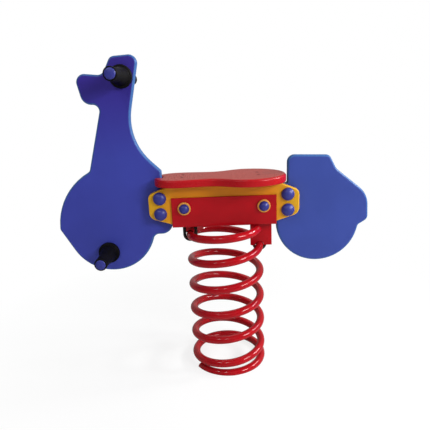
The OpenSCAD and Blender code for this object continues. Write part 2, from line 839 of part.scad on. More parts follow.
module handle_washers() {
    rod_washers(handle_place, grip_l);
}

module handle_nuts() {
    rod_nuts(handle_place, grip_l);
}

module handle_tip_caps() {
    tip_caps(handle_place, grip_l);
}

module foot_rod() {
    rod(foot_peg_place, peg_l);
}

module foot_peg_left() {
    grip(foot_peg_place, peg_l, -1);
}

module foot_peg_right() {
    grip(foot_peg_place, peg_l, 1);
}

module foot_washers() {
    rod_washers(foot_peg_place, peg_l);
}

module foot_nuts() {
    rod_nuts(foot_peg_place, peg_l);
}

module foot_tip_caps() {
    tip_caps(foot_peg_place, peg_l);
}

spring();
spring_head();
front_saddle();
drop_bracket();
front_u_bolt();
rear_u_bolt();
u_bolt_washers();
u_bolt_nuts();
rail_left();
rail_right();
cheek_sleeves();
cheek_bolts();
cheek_washers();
cheek_nuts();
cheek_caps();
front_panel();
rear_panel();
panel_bolts();
panel_washers();
panel_nuts();
panel_domes();
seat();
seat_screws();
handle_rod();
handle_grip_left();
handle_grip_right();
handle_washers();
handle_nuts();
handle_tip_caps();
foot_rod();
foot_peg_left();
foot_peg_right();
foot_washers();
foot_nuts();
foot_tip_caps();
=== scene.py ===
"""Studio view of a spring rider: a scooter silhouette in plastic sheet on one large coil spring.

Metres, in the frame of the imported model: the ground is z = 0, the front is towards -X and the
camera looks from the -Y side.
"""
import math

import bmesh
import bpy
from mathutils import Matrix, Vector


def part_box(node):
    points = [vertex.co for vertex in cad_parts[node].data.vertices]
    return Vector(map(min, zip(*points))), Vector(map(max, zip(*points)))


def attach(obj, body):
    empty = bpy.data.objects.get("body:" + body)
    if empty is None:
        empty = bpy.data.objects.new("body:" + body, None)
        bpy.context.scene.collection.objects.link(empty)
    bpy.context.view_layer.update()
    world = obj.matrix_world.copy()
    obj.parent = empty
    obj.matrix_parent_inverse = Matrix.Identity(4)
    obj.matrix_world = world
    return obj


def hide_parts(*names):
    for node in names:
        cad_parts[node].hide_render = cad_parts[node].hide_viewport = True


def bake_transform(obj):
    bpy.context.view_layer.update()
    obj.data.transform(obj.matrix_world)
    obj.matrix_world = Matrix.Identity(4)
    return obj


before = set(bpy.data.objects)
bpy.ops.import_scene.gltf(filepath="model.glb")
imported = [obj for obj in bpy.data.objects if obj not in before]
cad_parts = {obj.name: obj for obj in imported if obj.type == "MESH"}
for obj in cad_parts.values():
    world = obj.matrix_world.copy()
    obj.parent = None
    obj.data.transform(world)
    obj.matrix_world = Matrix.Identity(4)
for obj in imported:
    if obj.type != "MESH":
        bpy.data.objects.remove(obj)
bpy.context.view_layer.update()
scene = bpy.context.scene

# Spring wire, with the turns and pitches of its solid
WIRE_D = 0.020
COIL_R = 0.090
COIL_PITCH = 0.0695
COIL_TURNS = 6.35
FOOT_Z = -0.0016
FOOT_PITCH = 0.021
FOOT_CLOSED_TURNS = 0.65
FOOT_RAMP_TURNS = 0.7
HEAD_PITCH = 0.030
HEAD_RAMP_TURNS = 0.8
HEAD_END_ANGLE = math.radians(-22)
WIRE_END_ROUND = 0.0015
# Shares of that round along the wire and into it
WIRE_END_STOPS = ((0, 1), (0.3, 0.3), (1, 0))

# Grips, with the rounds of their profile from the flange's face to the socket's mouth
GRIP_ROOT_D = 0.044
GRIP_TIP_D = 0.0315
GRIP_TAPER_L = 0.046
FLANGE_T = 0.010
SOCKET_R = 0.0108
SOCKET_DEPTH = 0.0161
ROD_HOLE_R = 0.0053
FLANGE_FACE_ROUND = 0.0008
FLANGE_RIM_ROUND = 0.0035
FLANGE_ROOT_ROUND = 0.0018
TAPER_END_ROUND = 0.06
GRIP_TIP_ROUND = 0.0024
SOCKET_ROUND = 0.0006

# Caps, plugs, washers and U-bolts
CAP_WALL = 0.0016
CAP_LIP = 0.00032
CAP_SKIRT_SHARE = 0.10
CAP_CLEARANCE = 0.0003
PLUG_LIP = 0.0005
PLUG_CLEARANCE = 0.0003
WASHER_FOOT_ROUND = 0.0006
WASHER_RIM_ROUND = 0.0012
WASHER_POCKET_ROUND = 0.0004
BOLT_HOLE_R = 0.0043
U_BOLT_D = 0.008
U_BOLT_CHAMFER = 0.0008

# Rounded edges
PANEL_ROUND = 0.0058
RAIL_ROUND = 0.0034
SEAT_ROUND = 0.0062
SEAT_UNDER_ROUND = 0.0020
STEEL_ROUND = 0.0010

# Steps of round forms
WIRE_SIDES = 28
WIRE_RINGS_PER_TURN = 72
TURNED_SIDES = 48
FILLET_STEPS = 5
CAP_STEPS = 14
PLUG_STEPS = 12
U_BOLT_SIDES = 20
U_BOLT_BEND_STEPS = 24
SHEET_ROUND_STEPS = 6
STEEL_ROUND_STEPS = 2

# Limits for reading and rounding the meshes of CAD nodes
WELD_DISTANCE = 1e-6
ON_EDGE = 3e-6
PLACE_DIGITS = 4
SHARP_ANGLE = math.radians(40)
FLAT_ANGLE = math.radians(0.5)
FLAT_COS = 0.9999
LEAST_CORNER_COS = 0.3

# Looks: ranges of noise, how far a surface faces along a sheet's axis where the sheet's edge begins, which
# has its own colour against the broad faces (painted light or shade), and a cutter's marks per metre along
# that edge and across it
WHITE = (1.0, 1.0, 1.0, 1.0)
NOISE_RANGE = (0.3, 0.7)
BLOOM_RANGE = (0.35, 0.7)
FLECK_RANGE = (0.55, 0.8)
FLECK_SHARE = 0.12
FLECK_SHADE = 0.8
EDGE_FACING = (0.88, 0.99)
CUTTER_MARKS_ALONG = 260.0
CUTTER_MARKS_ACROSS = 6.0

# Floor and world: white to the camera, and dimmer in mirrors, where the world's front is darkest
FLOOR_SIZE = 12
FLOOR_ALBEDO = 0.86
FLOOR_GLOW = 0.80
FLOOR_MIRRORED = 0.22
SHADOW_REACH = (0.25, 0.9)
WORLD_LIGHT = 0.20
WORLD_MIRRORED = (0.06, 0.4)
WORLD_MIRRORED_Y = (-0.5, 0.2)

# Lamps: name, place, size and power of each soft box
LIGHT_TARGET = Vector((0, 0, 0.45))
LAMPS = (
    ("key_front", (1.8, -1.55, 1.5), 0.8, 48),
    ("key", (2.25, -0.3, 1.65), 0.36, 30),
    ("key_back", (2.2, 0.4, 1.65), 0.36, 30),
    ("front", (-0.2, -2.6, 2.2), 2.4, 6),
    ("left", (-1.5, -1.45, 2.3), 0.3, 8),
    ("left_front", (-0.65, -2.0, 2.4), 0.3, 7),
    ("top", (0.4, 0.5, 2.4), 1.2, 6),
    ("back", (-0.7, 1.9, 2.9), 1.2, 9),
)

# Camera, fitted to the photograph's frame of 430 by 430 pixels
IMAGE_PX = 430
FOCAL_PX = 428.065
SENSOR_MM = 36
CAMERA_PLACE = Vector((-0.009381, -1.07197, 0.68728))
PITCH = math.radians(14.624)
YAW = math.radians(-0.76)
ROLL = math.radians(2.335)


def node(tree, kind, inputs=None, **settings):
    """Adds a shader node: an input takes a constant, or the output of another node."""
    made = tree.nodes.new(kind)
    for key, value in settings.items():
        setattr(made, key, value)
    for key, value in (inputs or {}).items():
        if isinstance(value, bpy.types.NodeSocket):
            tree.links.new(value, made.inputs[key])
        else:
            made.inputs[key].default_value = value
    return made


def math_node(tree, operation, first, second=0.0):
    return node(tree, "ShaderNodeMath", {0: first, 1: second}, operation=operation).outputs[0]


def mix_value(tree, factor, first, second):
    """A value between two values, which the Mix node takes at its sockets 2 and 3."""
    return node(tree, "ShaderNodeMix", {0: factor, 2: first, 3: second}).outputs[0]


def mix_colour(tree, factor, first, second):
    """A colour between two colours, which the Mix node takes at its sockets 6 and 7."""
    return node(tree, "ShaderNodeMix", {0: factor, 6: first, 7: second}, data_type="RGBA").outputs[2]


def map_range(tree, value, source, target=(0.0, 1.0)):
    """Carries a value from one range, a low and a high end, over to another."""
    inputs = {0: value, 1: source[0], 2: source[1], 3: target[0], 4: target[1]}
    return node(tree, "ShaderNodeMapRange", inputs).outputs[0]


def along_axis(tree, vector, axis):
    """Distance along an axis, X, Y or Z, on either side."""
    part = node(tree, "ShaderNodeSeparateXYZ", {0: vector}).outputs[axis]
    return math_node(tree, "ABSOLUTE", part)


def stretched(tree, vector, scale):
    """A place with its own scale along each axis."""
    inputs = {0: vector, 1: scale}
    return node(tree, "ShaderNodeVectorMath", inputs, operation="MULTIPLY").outputs[0]


def noise(tree, vector, scale, detail):
    """Smooth noise: the scale is in patches per metre, and the detail in finer layers."""
    inputs = {"Vector": vector, "Scale": scale, "Detail": detail}
    return node(tree, "ShaderNodeTexNoise", inputs).outputs[0]


def bump(tree, height, strength, distance, normal=None):
    """Relief of a height pattern, on top of another relief where one is given."""
    inputs = {"Height": height, "Strength": strength, "Distance": distance}
    if normal is not None:
        inputs["Normal"] = normal
    return node(tree, "ShaderNodeBump", inputs).outputs[0]


def rgba(colour):
    return (*colour, 1.0)


def shade(colour, share):
    return tuple(min(1.0, c * share) for c in colour)


def two_tone(tree, pattern, colour, dark, light, source=NOISE_RANGE):
    """A colour that a pattern varies between a darker and a lighter share of it."""
    factor = map_range(tree, pattern, source)
    return mix_colour(tree, factor, rgba(shade(colour, dark)), rgba(shade(colour, light)))


def uneven(tree, pattern, low, high):
    """A roughness that a pattern varies between two values."""
    return map_range(tree, pattern, NOISE_RANGE, (low, high))


def new_look(name):
    """An empty material, with the place on the piece at rest and the direction of its surface."""
    look = bpy.data.materials.new(name)
    look.use_nodes = True
    tree = look.node_tree
    tree.nodes.clear()
    coords = node(tree, "ShaderNodeTexCoord")
    return look, tree, coords.outputs["Object"], coords.outputs["Normal"]


def close_look(look, tree, inputs):
    """Ends a material with its surface shader."""
    shader = node(tree, "ShaderNodeBsdfPrincipled", inputs)
    node(tree, "ShaderNodeOutputMaterial", {"Surface": shader.outputs[0]})
    return look


def sheet_look(name, colour, edge_colour, broad_axis, roughness, gloss=0.25, painted_shading=None):
    """Coloured polyethylene sheet: a fine pebble on its broad faces, cutter marks on its routed edges.

    The edges take a colour of their own against the broad faces: painted light or shade. The painted shading
    is an axis, two distances along it and the colour that comes in between them: painted light or shade
    along that axis.
    """
    look, tree, place, normal = new_look(name)
    edge = map_range(tree, along_axis(tree, normal, broad_axis), EDGE_FACING, (1.0, 0.0))
    clouds = noise(tree, place, scale=7.0, detail=4.0)
    pebble = noise(tree, place, scale=620.0, detail=2.0)
    face = two_tone(tree, clouds, colour, dark=0.93, light=1.07)
    # Painted light or shade: the colour changes along an axis between two distances
    if painted_shading:
        axis, start, end, shading_colour = painted_shading
        reach = map_range(tree, along_axis(tree, place, axis), (start, end))
        face = mix_colour(tree, reach, face, rgba(shading_colour))
    fleck_noise = noise(tree, place, scale=1500.0, detail=1.0)
    flecks = map_range(tree, fleck_noise, FLECK_RANGE, (0.0, FLECK_SHARE))
    face = mix_colour(tree, flecks, face, rgba(shade(edge_colour, FLECK_SHADE)))
    # The edge colour is painted light or shade: a painted highlight on the panels' and rails' edges, and the
    # seat's plain side against the painted sheen of its top
    coloured = mix_colour(tree, edge, face, rgba(edge_colour))
    marks_per_metre = [CUTTER_MARKS_ALONG] * 3
    marks_per_metre["XYZ".index(broad_axis)] = CUTTER_MARKS_ACROSS
    cutter = noise(tree, stretched(tree, place, marks_per_metre), scale=1.0, detail=2.0)
    grain = bump(tree, pebble, strength=0.22, distance=0.0004)
    marks = bump(tree, math_node(tree, "MULTIPLY", cutter, edge), strength=0.12, distance=0.0006,
                 normal=grain)
    rough = uneven(tree, pebble, low=roughness - 0.05, high=roughness + 0.06)
    return close_look(look, tree, {"Base Color": coloured, "Roughness": rough, "Normal": marks,
                                   "Specular IOR Level": gloss})


def paint_look(name, colour):
    """Glossy powder coat: a slight orange peel, and a colour that runs a little darker in places."""
    look, tree, place, _ = new_look(name)
    clouds = noise(tree, place, scale=22.0, detail=3.0)
    patches = noise(tree, place, scale=90.0, detail=3.0)
    peel = noise(tree, place, scale=300.0, detail=2.0)
    return close_look(look, tree, {"Base Color": two_tone(tree, clouds, colour, dark=0.9, light=1.08),
                                   "Roughness": uneven(tree, patches, low=0.10, high=0.14),
                                   "Normal": bump(tree, peel, strength=0.06, distance=0.0004),
                                   "Specular IOR Level": 0.32})


def moulding_look(name, colour, roughness, gloss=0.35):
    """Moulded plastic or a coated screw: nearly even colour, with a fine satin texture."""
    look, tree, place, _ = new_look(name)
    clouds = noise(tree, place, scale=60.0, detail=3.0)
    satin = noise(tree, place, scale=1400.0, detail=1.0)
    rough = uneven(tree, satin, low=roughness - 0.04, high=roughness + 0.05)
    return close_look(look, tree, {"Base Color": two_tone(tree, clouds, colour, dark=0.94, light=1.06),
                                   "Roughness": rough,
                                   "Normal": bump(tree, satin, strength=0.06, distance=0.0002),
                                   "Specular IOR Level": gloss})


def rubber_look(name, colour):
    """Black rubber with a dull bloom and a fine grain."""
    look, tree, place, _ = new_look(name)
    bloom = noise(tree, place, scale=40.0, detail=4.0)
    grain = noise(tree, place, scale=900.0, detail=2.0)
    coloured = two_tone(tree, bloom, colour, dark=0.8, light=1.5, source=BLOOM_RANGE)
    return close_look(look, tree, {"Base Color": coloured,
                                   "Roughness": uneven(tree, grain, low=0.48, high=0.62),
                                   "Normal": bump(tree, grain, strength=0.25, distance=0.0003),
                                   "Specular IOR Level": 0.08})


def zinc_look(name, colour):
    """Zinc-plated steel that has gone dull: grey patches of uneven gloss."""
    look, tree, place, _ = new_look(name)
    spangle = noise(tree, place, scale=160.0, detail=4.0)
    return close_look(look, tree, {"Base Color": two_tone(tree, spangle, colour, dark=0.7, light=1.2),
                                   "Roughness": uneven(tree, spangle, low=0.3, high=0.5),
                                   "Normal": bump(tree, spangle, strength=0.1, distance=0.0002),
                                   "Metallic": 1.0})


LOOKS = {
    # The front sheet: its lighter, greener edge colour is a painted highlight, and the colour towards its
    # top is painted shade, darker and more purple
    "front_blue": sheet_look("front_blue", (0.034, 0.044, 0.300), edge_colour=(0.032, 0.105, 0.30),
                             broad_axis="Y", roughness=0.44,
                             painted_shading=("Z", 0.56, 0.74, (0.029, 0.016, 0.220))),
    # The rear sheet: a lighter, greener copy of the front sheet's blue, painted light from the right, with
    # the same painted highlight on its edges
    "rear_blue": sheet_look("rear_blue", (0.030, 0.054, 0.272), edge_colour=(0.034, 0.11, 0.31),
                            broad_axis="Y", roughness=0.44),
    # The rails: the lighter edge colour is a painted highlight, and along X the middle under the seat is
    # painted shade and red bounce light, yellower towards the ends
    "yellow": sheet_look("yellow", (0.62, 0.21, 0.003), edge_colour=(0.68, 0.36, 0.02),
                         broad_axis="Y", roughness=0.42,
                         painted_shading=("X", 0.12, 0.17, (0.55, 0.28, 0.005))),
    # The seat: its pinker broad faces are a painted sheen on the top, against the plain red of its side
    "seat_red": sheet_look("seat_red", (0.345, 0.024, 0.010), edge_colour=(0.36, 0.004, 0.008),
                           broad_axis="Z", roughness=0.28, gloss=0.22),
    "red_paint": paint_look("red_paint", (0.345, 0.0035, 0.008)),
    "zinc": zinc_look("zinc", (0.06, 0.057, 0.055)),
    "blue_cap": moulding_look("blue_cap", (0.021, 0.025, 0.205), roughness=0.40, gloss=0.5),
    "yellow_ring": moulding_look("yellow_ring", (0.66, 0.30, 0.05), roughness=0.34),
    "screw_black": moulding_look("screw_black", (0.008, 0.006, 0.006), roughness=0.6, gloss=0.02),
    "rubber": rubber_look("rubber", (0.004, 0.0035, 0.004)),
}


def add_piece(name, bm, look):
    """A smooth piece from a finished bmesh, with its faces looking out."""
    bmesh.ops.recalc_face_normals(bm, faces=bm.faces)
    if bm.calc_volume(signed=True) < 0:
        bmesh.ops.reverse_faces(bm, faces=bm.faces)
    mesh = bpy.data.meshes.new(name)
    bm.to_mesh(mesh)
    bm.free()
    mesh.materials.append(LOOKS[look])
    mesh.polygons.foreach_set("use_smooth", [True] * len(mesh.polygons))
    piece = bpy.data.objects.new(name, mesh)
    scene.collection.objects.link(piece)
    return piece


def seat_piece(piece, slot, *nodes):
    """The piece rides on the rider in place of CAD nodes."""
    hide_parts(*nodes)
    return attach(piece, "rider")


def node_mesh(cad_node):
    """A copy of a CAD node's mesh to work on, with its corners welded."""
    bm = bmesh.new()
    bm.from_mesh(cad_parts[cad_node].data)
    bmesh.ops.remove_doubles(bm, verts=bm.verts, dist=WELD_DISTANCE)
    return bm


def centres(cad_node):
    """Middles [x, z] of the separate solids of a CAD node, from low x to high x, each once."""
    bm = node_mesh(cad_node)
    left = set(bm.verts)
    found = set()
    while left:
        solid = [left.pop()]
        for vert in solid:
            for edge in vert.link_edges:
                other = edge.other_vert(vert)
                if other in left:
                    left.remove(other)
                    solid.append(other)
        xs = [vert.co.x for vert in solid]
        zs = [vert.co.z for vert in solid]
        middle = ((min(xs) + max(xs)) / 2, (min(zs) + max(zs)) / 2)
        found.add(tuple(round(part, PLACE_DIGITS) for part in middle))
    bm.free()
    return sorted(found)


def disc_radius(cad_node):
    """Radius of a CAD node's round solids, from the first one's middle to the low end of the box."""
    return centres(cad_node)[0][0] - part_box(cad_node)[0].x


def standing_face(cad_node):
    """Distance from the mid-plane to the faces that a CAD node's solids stand on."""
    return min(abs(v.co.y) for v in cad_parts[cad_node].data.vertices)


def full_turn(steps):
    """Angles of a full turn in even steps, without the last, which is the first again."""
    return [2 * math.pi * i / steps for i in range(steps)]


def quarter_turn(steps):
    """Angles of a quarter turn in even steps, with both of its ends."""
    return [math.pi / 2 * i / steps for i in range(steps + 1)]


def join_rings(bm, rings, closed=False):
    """Faces between rings of points, where a ring of one point is a tip."""
    pairs = list(zip(rings, rings[1:]))
    if closed:
        pairs.append((rings[-1], rings[0]))
    for first, second in pairs:
        count = max(len(first), len(second))
        for i in range(count):
            j = (i + 1) % count
            if len(first) == 1:
                bm.faces.new((first[0], second[i], second[j]))
            elif len(second) == 1:
                bm.faces.new((first[i], first[j], second[0]))
            else:
                bm.faces.new((first[i], first[j], second[j], second[i]))


def rod_mesh(rings):
    """A rod through rings of places, closed at both ends."""
    bm = bmesh.new()
    made = [[bm.verts.new(place) for place in ring] for ring in rings]
    join_rings(bm, made)
    bm.faces.new(made[0])
    bm.faces.new(made[-1])
    return bm


def in_plane(point, axis):
    """A point's place in the plane across an axis."""
    parts = list(point)
    del parts[axis]
    return Vector(parts)


def in_space(flat, axis, height):
    """A point or direction from its parts in the plane across an axis and its part along that axis."""
    parts = list(flat)
    parts.insert(axis, height)
    return Vector(parts)


def at_level(element, axis, level):
    """Whether all corners of a face or an edge lie at a level along an axis."""
    return all(abs(vert.co[axis] - level) < WELD_DISTANCE for vert in element.verts)


def face_loops(bm, axis, level):
    """Edge loops round the flat face of a solid at a level along an axis, as lists of corners in order."""
    flat = {f for f in bm.faces if at_level(f, axis, level)}
    left = dict.fromkeys(e for e in bm.edges if sum(f in flat for f in e.link_faces) == 1)
    loops = []
    while left:
        ahead = next(iter(left))
        loop = [ahead.verts[0]]
        while ahead is not None:
            del left[ahead]
            loop.append(ahead.other_vert(loop[-1]))
            ahead = next((e for e in loop[-1].link_edges if e in left), None)
        loops.append(loop[:-1] if loop[-1] is loop[0] else loop)
    return loops


def loop_area(points):
    """Area inside a closed outline, below zero where it runs clockwise."""
    return sum(a.cross(b) for a, b in zip(points, points[1:] + points[:1])) / 2


def sheet_outline(bm, axis, level):
    """Outer outline of a sheet's face, anticlockwise in the plane across the axis."""
    loops = [[in_plane(vert.co, axis) for vert in loop] for loop in face_loops(bm, axis, level)]
    points = max(loops, key=lambda loop: abs(loop_area(loop)))
    if loop_area(points) < 0:
        points.reverse()
    return points


def edge_under(place, points):
    """Number of the edge of a closed outline that a place lies on, if any."""
    for i, (a, b) in enumerate(zip(points, points[1:] + points[:1])):
        run = b - a
        along = min(1, max(0, (place - a).dot(run) / run.length_squared))
        if (a + run * along - place).length < ON_EDGE:
            return i
    return None


def edge_normals(points):
    """Outward directions of a closed outline's edges and corners, and which corners are sharp."""
    edges = [(b - a).normalized() for a, b in zip(points, points[1:] + points[:1])]
    out = [Vector((e.y, -e.x)) for e in edges]
    corners = [(out[i - 1] + out[i]).normalized() for i in range(len(points))]
    sharp = [edges[i - 1].dot(edges[i]) < math.cos(SHARP_ANGLE) for i in range(len(points))]
    return out, corners, sharp


def fill_flat(bm, edges):
    """Fills the flat area between an outline and its holes."""
    bmesh.ops.triangle_fill(bm, use_beauty=True, use_dissolve=False, edges=edges)


def set_round_normals(mesh, axis, stations, out, corners, sharp):
    """Exact directions of the surface round a sheet's edge, and flat ones elsewhere.

    The station of a corner on the round is its number in the outline, its side and its angle.
    """
    normals = []
    for polygon in mesh.polygons:
        known = [stations.get(k) for k in polygon.vertices]
        if None in known or abs(polygon.normal[axis]) > FLAT_COS:
            normals += [polygon.normal.copy()] * len(known)
            continue
        first, last = min(known)[0], max(known)[0]
        # The outline's last edge runs from its last corner back to its first
        edge = first if last - first == 1 else last
        for i, side, angle in known:
            flat = out[edge] if sharp[i] else corners[i]
            normals.append(in_space(flat * math.cos(angle), axis, side * math.sin(angle)))
    mesh.normals_split_custom_set(normals)


def round_sheet(name, cad_node, broad_axis, look, slot, radius, low_radius=None):
    """A sheet with the outline and the holes of its CAD node, and a true round along its edges.

    The round on its low side along the axis is the same, unless it is given.
    """
    axis = "XYZ".index(broad_axis)
    low, high = (corner[axis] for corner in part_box(cad_node))
    bm = node_mesh(cad_node)
    points = sheet_outline(bm, axis, high)
    out, corners, sharp = edge_normals(points)

    def edge_at(vert):
        return edge_under(in_plane(vert.co, axis), points)

    # Only the walls of the holes stay from the solid
    broad = [f for f in bm.faces if at_level(f, axis, low) or at_level(f, axis, high)]
    outer = [f for f in bm.faces if all(edge_at(vert) is not None for vert in f.verts)]
    bmesh.ops.delete(bm, geom=list(dict.fromkeys(outer + broad)), context="FACES")
    open_edges = [e for e in bm.edges if len(e.link_faces) == 1]
    low_rims = [e for e in open_edges if at_level(e, axis, low)]
    high_rims = [e for e in open_edges if at_level(e, axis, high)]
    edge_rims = [e for e in open_edges if e not in low_rims and e not in high_rims]

    # Rings of the round, from the flat of the low face out to the edge and in to that of the high face
    angles = quarter_turn(SHEET_ROUND_STEPS)
    stops = [(-1, low, low_radius or radius, a) for a in reversed(angles)]
    stops += [(1, high, radius, a) for a in angles]
    rings = []
    stations = {}
    for side, level, bend, angle in stops:
        ring = []
        for i, point in enumerate(points):
            inset = bend * (1 - math.cos(angle)) / max(corners[i].dot(out[i]), LEAST_CORNER_COS)
            height = level - side * bend * (1 - math.sin(angle))
            vert = bm.verts.new(in_space(point - corners[i] * inset, axis, height))
            stations[vert] = (i, side, angle)
            ring.append(vert)
        rings.append(ring)
    join_rings(bm, rings)
    for ring, rims in ((rings[0], low_rims), (rings[-1], high_rims)):
        fill_flat(bm, [bm.edges.get((ring[i - 1], ring[i])) for i in range(len(ring))] + rims)

    # Holes that open in the flat of the edge, which lies between the two middle rings
    first, second = rings[SHEET_ROUND_STEPS:SHEET_ROUND_STEPS + 2]
    for i in sorted({edge_at(e.verts[0]) for e in edge_rims}):
        j = (i + 1) % len(points)
        holes = [e for e in edge_rims if edge_at(e.verts[0]) == i]
        flat = bm.faces.get((first[i], first[j], second[j], second[i]))
        border = list(flat.edges)
        bmesh.ops.delete(bm, geom=[flat], context="FACES_ONLY")
        fill_flat(bm, border + holes)

    bm.verts.index_update()
    stations = {vert.index: station for vert, station in stations.items()}
    piece = add_piece(name, bm, look)
    set_round_normals(piece.data, axis, stations, out, corners, sharp)
    return seat_piece(piece, slot, cad_node)


def make_steel(name, cad_node):
    """A painted steel piece with the shape of its CAD node, rounded edges and flat faces."""
    bm = node_mesh(cad_node)
    bmesh.ops.dissolve_limit(bm, angle_limit=FLAT_ANGLE, verts=bm.verts, edges=bm.edges)
    piece = add_piece(name, bm, "red_paint")
    rounding = piece.modifiers.new("rounding", "BEVEL")
    rounding.width = STEEL_ROUND
    rounding.segments = STEEL_ROUND_STEPS
    rounding.limit_method = "ANGLE"
    rounding.angle_limit = SHARP_ANGLE
    rounding.use_clamp_overlap = False
    piece.modifiers.new("flat faces", "WEIGHTED_NORMAL")
    return seat_piece(piece, "red_paint", cad_node)


def ramp(u):
    """A smooth rise from 0 to 1, as in the solid's pitch, while u goes from 0 to 1."""
    u = min(1, max(0, u))
    return u * u * (3 - 2 * u)


def ramp_area(u):
    """Area under the ramp up to u."""
    if u <= 0:
        return 0
    return u ** 3 - u ** 4 / 2 if u < 1 else u - 0.5


def wire_ring(turns, radius):
    """Points round the wire after some turns, square to its run and flat where it meets the ground."""
    foot = (turns - FOOT_CLOSED_TURNS) / FOOT_RAMP_TURNS
    head = (turns - COIL_TURNS + HEAD_RAMP_TURNS) / HEAD_RAMP_TURNS
    gain = COIL_PITCH - FOOT_PITCH
    fall = COIL_PITCH - HEAD_PITCH
    height = FOOT_Z + FOOT_PITCH * turns + gain * FOOT_RAMP_TURNS * ramp_area(foot)
    height -= fall * HEAD_RAMP_TURNS * ramp_area(head)
    rise = FOOT_PITCH + gain * ramp(foot) - fall * ramp(head)
    angle = HEAD_END_ANGLE + 2 * math.pi * (turns - COIL_TURNS)
    out = Vector((math.cos(angle), math.sin(angle), 0))
    run = Vector((-2 * math.pi * COIL_R * out.y, 2 * math.pi * COIL_R * out.x, rise)).normalized()
    up = out.cross(run)
    middle = out * COIL_R + Vector((0, 0, height))
    points = [middle + radius * (out * math.cos(a) + up * math.sin(a)) for a in full_turn(WIRE_SIDES)]
    return [(point.x, point.y, max(point.z, 0)) for point in points]


def make_spring():
    """The coil as one round wire, from the ground up to the rider."""
    full = WIRE_D / 2
    end_turns = WIRE_END_ROUND / (2 * math.pi * COIL_R)
    ends = [(end_turns * along, full - WIRE_END_ROUND * into) for along, into in WIRE_END_STOPS]
    count = round(COIL_TURNS * WIRE_RINGS_PER_TURN)
    stops = ends + [(COIL_TURNS * i / count, full) for i in range(1, count)]
    stops += [(COIL_TURNS - turns, radius) for turns, radius in reversed(ends)]
    bm = rod_mesh([wire_ring(turns, radius) for turns, radius in stops])
    spring = add_piece("spring_wire", bm, "red_paint")
    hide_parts("spring")
    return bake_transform(spring)


def make_u_bolt(name, cad_node):
    """A U-bolt as one bent rod with chamfered ends."""
    low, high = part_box(cad_node)
    middle = (low + high) / 2
    full = U_BOLT_D / 2
    radius = (high.x - low.x - U_BOLT_D) / 2
    bend_z = low.z + full + radius
    arc = [math.pi * (1 + i / U_BOLT_BEND_STEPS) for i in range(U_BOLT_BEND_STEPS + 1)]
    bend = [Vector((middle.x + radius * math.cos(a), middle.y, bend_z + radius * math.sin(a))) for a in arc]
    ends = []
    for leg in (bend[0], bend[-1]):
        tip = Vector((leg.x, middle.y, high.z))
        ends.append([(tip, full - U_BOLT_CHAMFER), (tip - Vector((0, 0, U_BOLT_CHAMFER)), full)])
    stops = ends[0] + [(point, full) for point in bend] + ends[1][::-1]
    across = Vector((0, 1, 0))
    rings = []
    for i, (point, rod_r) in enumerate(stops):
        ahead = stops[min(i + 1, len(stops) - 1)][0] - stops[max(i - 1, 0)][0]
        out = across.cross(ahead.normalized())
        rings.append([point + rod_r * (out * math.cos(a) + across * math.sin(a))
                      for a in full_turn(U_BOLT_SIDES)])
    return seat_piece(add_piece(name, rod_mesh(rings), "zinc"), "zinc_steel", cad_node)


def turn(bm, profile, place, face, side, closed):
    """Turns a profile of [radius, height] round an axis along Y, standing on the face of a side, -1 or 1."""
    x, z = place
    rings = []
    for radius, height in profile:
        y = side * (face + height)
        angles = full_turn(TURNED_SIDES) if radius else [0]
        rings.append([bm.verts.new((x + radius * math.cos(a), y, z + radius * math.sin(a))) for a in angles])
    join_rings(bm, rings, closed)


def rounded_profile(corners):
    """A closed profile with a round at each corner: corners are [radius, height, round]."""
    points = []
    for i, (r, h, fillet) in enumerate(corners):
        at = Vector((r, h))
        if fillet == 0:
            points.append((r, h))
            continue
        before = (Vector(corners[i - 1][:2]) - at).normalized()
        after = (Vector(corners[(i + 1) % len(corners)][:2]) - at).normalized()
        half = before.angle(after) / 2
        run = fillet / math.tan(half)
        centre = at + (before + after).normalized() * fillet / math.sin(half)
        first = at + before * run - centre
        sweep = first.angle_signed(at + after * run - centre)
        for k in range(FILLET_STEPS + 1):
            turned = Matrix.Rotation(-sweep * k / FILLET_STEPS, 2) @ first
            points.append(tuple(centre + turned))
    return points


def make_turned(name, cad_node, look, slot, profile, places, face, sides=(-1, 1), closed=False):
    """One piece of turned forms, which stand at places [x, z] on the faces of both sides or of one."""
    bm = bmesh.new()
    for place in places:
        for side in sides:
            turn(bm, profile, place, face, side, closed)
    return seat_piece(add_piece(name, bm, look), slot, cad_node)


def dome_profile(radius, height):
    """A hollow dome, open at its foot, with a fine joint line round its skirt."""
    skirt = height * CAP_SKIRT_SHARE
    crown = radius - CAP_LIP / 2
    inner = radius - CAP_WALL
    room = height - skirt - CAP_WALL
    angles = quarter_turn(CAP_STEPS)[:-1]
    outside = [(radius - CAP_LIP, 0), (radius, CAP_LIP), (radius, skirt - 2 * CAP_LIP),
               (radius - CAP_LIP, skirt - CAP_LIP)]
    outside += [(crown * math.cos(a), skirt + (height - skirt) * math.sin(a)) for a in angles]
    inside = [(inner * math.cos(a), skirt + room * math.sin(a)) for a in angles]
    return [(0, skirt + room)] + inside[::-1] + [(inner, 0)] + outside + [(0, height)]


def make_domes(name, cad_node):
    """Hollow domes on both sides, where the CAD node has them."""
    face = standing_face(cad_node)
    profile = dome_profile(disc_radius(cad_node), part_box(cad_node)[1].y - face)
    return make_turned(name, cad_node, "blue_cap", "blue_moulding", profile, centres(cad_node), face)


